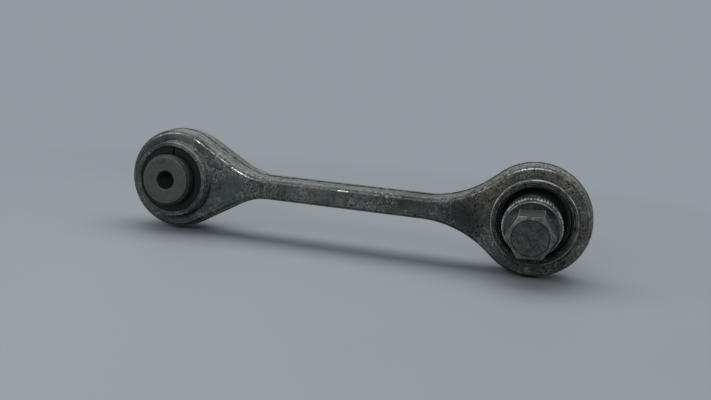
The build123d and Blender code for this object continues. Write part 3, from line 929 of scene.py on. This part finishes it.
def makeBolt(look):
    mount = mounts["bolt_thread_end"]
    middle = (boltPlace.inverted() @ Vector(mount["pos_m"])).z
    threadTop = middle + mount["dims"]["length_mm"] * mm / 2
    threadRadius = mount["dims"]["r_mm"] * mm
    seat = boltHigh - look["headHeight"]
    whole = bmesh.new()
    for bm in (
        makeHexHead(look, boltPlace, boltHigh, seat + look["flangeRim"]),
        makeFlange(look, boltPlace, seat),
        makeShank(look, boltPlace, seat + look["seatHollow"], threadTop, threadRadius),
        makeThread(look, boltPlace, threadTop, boltLow, threadRadius),
    ):
        part = bpy.data.meshes.new("boltPart")
        bm.to_mesh(part)
        bm.free()
        whole.from_mesh(part)
        bpy.data.meshes.remove(part)
    bolt = finishPiece("flangeBolt", whole, finishes["bolt_steel"], chamferSteel, coneSteel, threadSteel)
    bevel = bolt.modifiers.new("softEdges", "BEVEL")
    bevel.width = look["softEdge"]
    bevel.segments = look["softSteps"]
    bevel.limit_method = "ANGLE"
    bevel.angle_limit = radians(look["softAngle"])
    applyModifiers(bolt)
    return bolt


bolt = makeBolt(boltLook)
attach(bolt, "bolt")
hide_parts("flange_bolt")
print("bolt made:", len(bolt.data.polygons), "faces")


# Boots: a rolled skin from the cartridge's collar in to the sleeve's neck, and the outer band
# that lines the cartridge's mouth. Each point is a radius and a height in mm along the joint's axis,
# and for the skin the share of the sleeve's lean that it follows.

bootLook = {
    "steps": 96,
    "sharp": 50.0,
    "skin": [
        (18.6, 5.9, 0.0), (18.65, 6.2, 0.0), (18.65, 9.2, 0.0), (18.16, 9.2, 0.0), (18.12, 7.7, 0.0),
        (17.85, 7.1, 0.02), (17.2, 6.85, 0.12), (16.4, 7.0, 0.3), (15.5, 7.6, 0.5), (14.8, 8.35, 0.65),
        (14.1, 8.75, 0.8), (13.3, 8.7, 0.92), (12.6, 8.75, 1.0), (12.05, 9.1, 1.0), (12.0, 10.6, 1.0),
        (11.85, 10.75, 1.0), (11.2, 10.75, 1.0), (11.08, 10.6, 1.0), (11.08, 9.4, 1.0), (11.5, 8.85, 1.0),
        (12.3, 8.2, 1.0), (13.3, 7.9, 0.92), (14.1, 7.6, 0.8), (15.0, 6.8, 0.6), (15.8, 6.2, 0.4),
        (16.8, 5.95, 0.15), (17.8, 5.9, 0.0),
    ],
    # the band is thin where the sleeve's rim comes nearest at the ends of its tilt
    "band": [
        (18.66, 9.78), (18.66, 15.0), (18.56, 15.3), (18.38, 15.34), (18.22, 15.15), (18.2, 14.9),
        (18.34, 14.72), (18.58, 14.55), (18.58, 13.9), (18.44, 13.4), (18.34, 12.8), (18.26, 12.2),
        (18.12, 11.8), (18.05, 11.3), (18.0, 10.8), (18.05, 10.3), (18.25, 9.78),
    ],
    "bendFrom": 6.4 * mm,
    "bendTo": 8.8 * mm,
}


def tipped(side, share):
    return (Matrix.Rotation(lean * share, 3, hinge) @ frontWay) * side


def makeLoop(name, look, points, side):
    bm = bmesh.new()
    rings = []
    for radius, height, share in points:
        place = axisFrame(eyeRight, tipped(side, share), hinge)
        rings.append(ringOf(bm, place, radius * mm, height * mm, look["steps"]))
    bands(bm, rings + rings[:1])
    return finishPiece(name, bm, finishes["boot_rubber"], sharp=look["sharp"])


def makeBoot(look, end, side):
    skin = makeLoop("bootSkin" + end, look, look["skin"], side)
    band = makeLoop("bootBand" + end, look, [(r, h, 0.0) for r, h in look["band"]], side)
    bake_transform(skin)
    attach(band, "arm")
    for piece in (skin, band):
        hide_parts("boot_" + end.lower())


makeBoot(bootLook, "Front", 1)
makeBoot(bootLook, "Rear", -1)
print("boots made")


# Rubber of the bush: a thick ring between core and sleeve, with rolled lips and a hollow in each end.
# Each point of one end is the share of the way from bore to outside and the depth in mm.

rubberLook = {
    "steps": 96,
    "sharp": 50.0,
    "end": [
        (0.0, 0.5), (0.03, 0.12), (0.08, 0.0), (0.14, 0.1), (0.22, 0.8), (0.32, 1.8), (0.42, 2.4),
        (0.5, 2.6), (0.58, 2.4), (0.68, 1.8), (0.78, 0.8), (0.86, 0.1), (0.92, 0.0), (0.97, 0.12),
        (1.0, 0.5),
    ],
}


def makeRubber(look):
    bm = bmesh.new()
    place = axisFrame(eyeLeft, frontWay, Vector((1, 0, 0)))
    low, high, bore, wide = reach("bush_rubber", place)
    front = [(bore + (wide - bore) * share, high - depth * mm) for share, depth in look["end"]]
    rear = [(bore + (wide - bore) * share, low + depth * mm) for share, depth in reversed(look["end"])]
    rings = [ringOf(bm, place, radius, height, look["steps"]) for radius, height in front + rear]
    bands(bm, rings + rings[:1])
    return finishPiece("bushRubber", bm, finishes["bush_rubber"], sharp=look["sharp"])


rubber = makeRubber(rubberLook)
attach(rubber, "arm")
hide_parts("bush_rubber")
print("rubber made")


# Studio: one pale bowl for floor and backdrop, a soft lamp above, weak ones in front and beside

stageLook = {
    "colour": (0.27, 0.297, 0.325),
    "hazeNoise": (3.0, 3.0, 0.5),
    "hazeRange": (0.3, 0.7, 0.96, 1.04),
    "rough": 0.6,
    "farColour": (0.292, 0.325, 0.357),
    "farRange": (0.20, 0.58),
    "gap": 0.05 * mm,
    "floorRadii": (0.25, 0.6, 1.1),
    "cornerRadius": 0.5,
    "cornerSteps": 8,
    "wallHeight": 1.3,
    "steps": 96,
}


def stageMaterial(look, centre):
    material = bpy.data.materials.new("paleStage")
    material.use_nodes = True
    tree = material.node_tree
    shader = tree.nodes["Principled BSDF"]
    where = coordinates(tree, "Object")
    haze = pattern(tree, where, look, "haze")
    tree.links.new(mixColour(tree, 1.0, look["colour"], haze, "MULTIPLY"), shader.inputs["Base Color"])
    shader.inputs["Roughness"].default_value = look["rough"]
    # away from the object the stage shows one even tone to the eye and in reflections
    ray = tree.nodes.new("ShaderNodeLightPath")
    seen = maths(tree, "ADD", ray.outputs["Is Camera Ray"], ray.outputs["Is Glossy Ray"])
    seen = maths(tree, "ADD", seen, ray.outputs["Is Transmission Ray"], clamp=True)
    away = vectors(tree, "DISTANCE", where, tuple(centre))
    far = times(tree, spread(tree, away, *look["farRange"]), seen)
    glow = put(tree, "ShaderNodeEmission", {}, ("Color", opaque(look["farColour"])))
    both = put(tree, "ShaderNodeMixShader", {}, (0, far), (1, shader.outputs[0]), (2, glow))
    tree.links.new(both, tree.nodes["Material Output"].inputs["Surface"])
    return material


def makeStage(look):
    bm = bmesh.new()
    centre = Vector(((eyeLeft.x + eyeRight.x) / 2, 0, cadBox[0][2] - look["gap"]))
    place = Matrix.Translation(centre)
    outline = [(radius, 0.0) for radius in look["floorRadii"]]
    flat = look["floorRadii"][-1]
    corner = look["cornerRadius"]
    for step in range(1, look["cornerSteps"] + 1):
        angle = radians(90 * step / look["cornerSteps"])
        outline.append((flat + corner * sin(angle), corner * (1 - cos(angle))))
    outline.append((outline[-1][0], look["wallHeight"]))
    rings = [ringOf(bm, place, radius, height, look["steps"]) for radius, height in outline]
    bands(bm, rings)
    capRing(bm, rings[0], place, 0.0)
    stage = finishPiece("stage", bm, stageMaterial(look, centre))


lampLook = [
    {"name": "topLamp", "place": (0.06, 0.20, 0.85), "size": (1.3, 0.85), "power": 7.6,
     "colour": (1.0, 0.985, 0.96)},
    {"name": "frontLamp", "place": (0.0, -0.70, 0.36), "size": (0.5, 0.1), "power": 1.6,
     "colour": (1.0, 0.98, 0.95)},
    {"name": "leftLamp", "place": (-0.75, -0.2, 0.55), "size": (0.5, 0.5), "power": 1.3,
     "colour": (0.90, 0.93, 1.0)},
    {"name": "rightLamp", "place": (0.95, 0.0, 0.4), "size": (0.4, 0.6), "power": 1.0,
     "colour": (0.92, 0.95, 1.0)},
]
worldLook = {"colour": (0.62, 0.66, 0.72), "strength": 0.42}


def makeLamps(looks):
    target = (eyeLeft + eyeRight) / 2
    for look in looks:
        data = bpy.data.lights.new(look["name"], "AREA")
        data.shape = "RECTANGLE"
        data.size, data.size_y = look["size"]
        data.energy = look["power"]
        data.color = look["colour"]
        lamp = bpy.data.objects.new(look["name"], data)
        lamp.matrix_world = aimed(Vector(look["place"]), target)
        scene.collection.objects.link(lamp)


def makeWorld(look):
    world = bpy.data.worlds.new("studioWorld")
    world.use_nodes = True
    background = world.node_tree.nodes["Background"]
    background.inputs["Color"].default_value = opaque(look["colour"])
    background.inputs["Strength"].default_value = look["strength"]
    scene.world = world


makeStage(stageLook)
makeLamps(lampLook)
makeWorld(worldLook)
print("studio made")

print("done")
